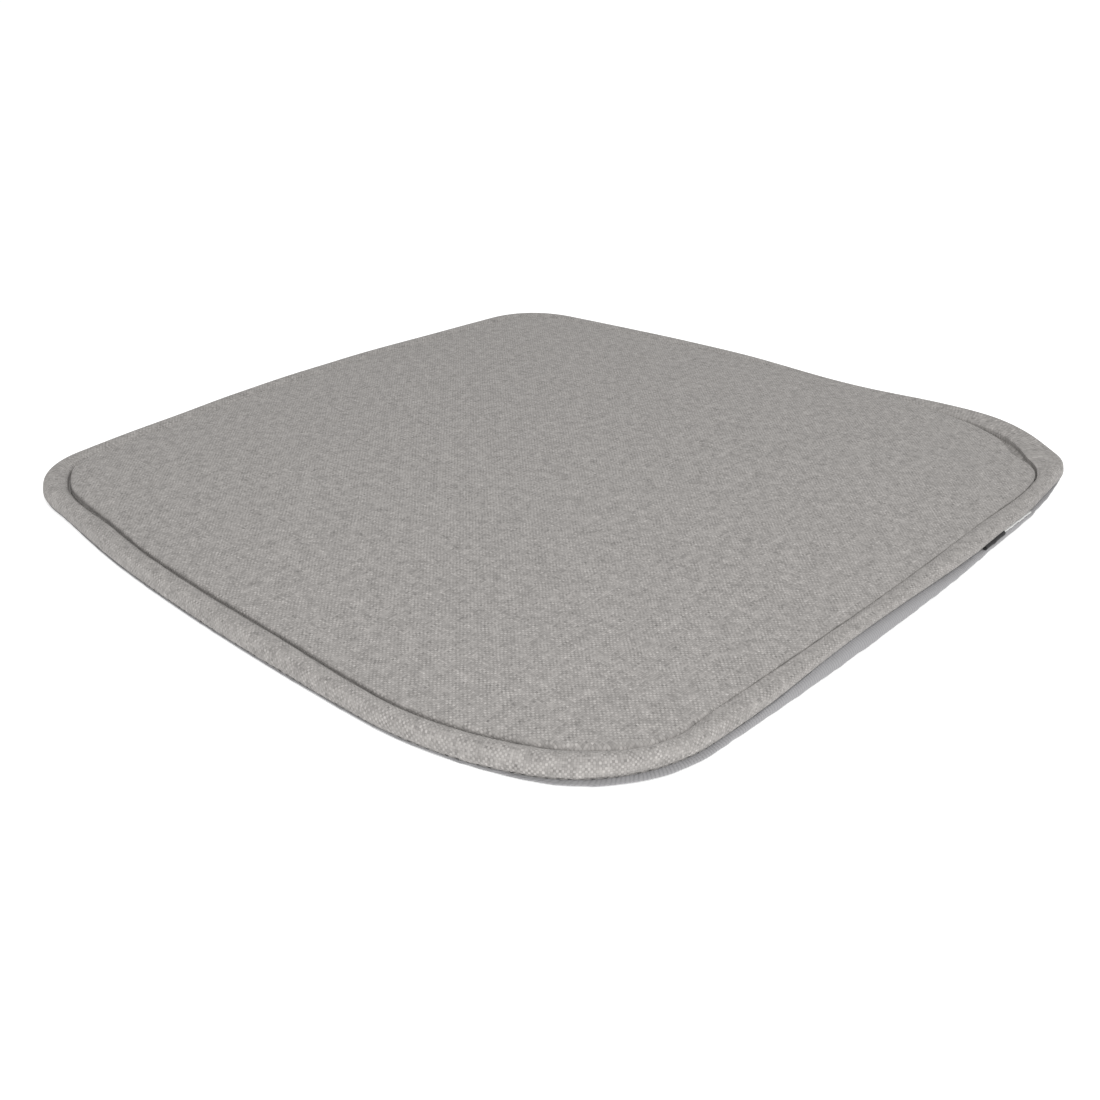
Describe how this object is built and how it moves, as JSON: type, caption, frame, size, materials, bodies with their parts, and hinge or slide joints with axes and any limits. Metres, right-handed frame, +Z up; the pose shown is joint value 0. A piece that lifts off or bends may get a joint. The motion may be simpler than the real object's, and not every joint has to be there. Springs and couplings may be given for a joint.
{
  "type": "chair seat pad",
  "caption": "Thin padded seat pad for an armchair: crowned woven centre panel inside a rolled border band, with a zipped removable cover.",
  "frame": {"origin": "underside, at the middle of the pad's plan box", "axes": "+Z up through the thickness, -Y towards the wide front edge, +X to the right when the pad is seen from its front edge"},
  "size_m": [0.46, 0.448, 0.018],
  "materials": {
    "panel_cloth": "matt woven melange",
    "band_cloth": "matt woven melange",
    "base_cloth": "matt woven",
    "foam": "open-cell foam",
    "wadding": "soft fibre",
    "thread": "spun polyester",
    "zip_tape": "knitted tape",
    "zip_coil": "nylon",
    "zip_metal": "nickel-plated",
    "black_tape": "tight satin weave",
    "label_satin": "satin"
  },
  "bodies": {
    "pad": {"top_panel": "panel_cloth", "border_band": "band_cloth", "bottom_panel": "base_cloth", "foam_core": "foam", "edge_wadding": "wadding", "centre_wadding": "wadding", "groove_seam_thread": "thread", "lower_seam_thread": "thread", "zip_tape_upper": "zip_tape", "zip_tape_lower": "zip_tape", "zip_coil_upper": "zip_coil", "zip_coil_lower": "zip_coil", "zip_stop_closed_end": "zip_metal", "zip_stop_open_end": "zip_metal", "name_tag": "black_tape", "care_label": "label_satin"},
    "slider": {"zip_slider": "zip_metal"}
  },
  "joints": [
    {"name": "zip_slide", "type": "slide", "parent": "pad", "child": "slider", "axis": [-1, 0, 0], "range_m": [0, 0.186]}
  ]
}
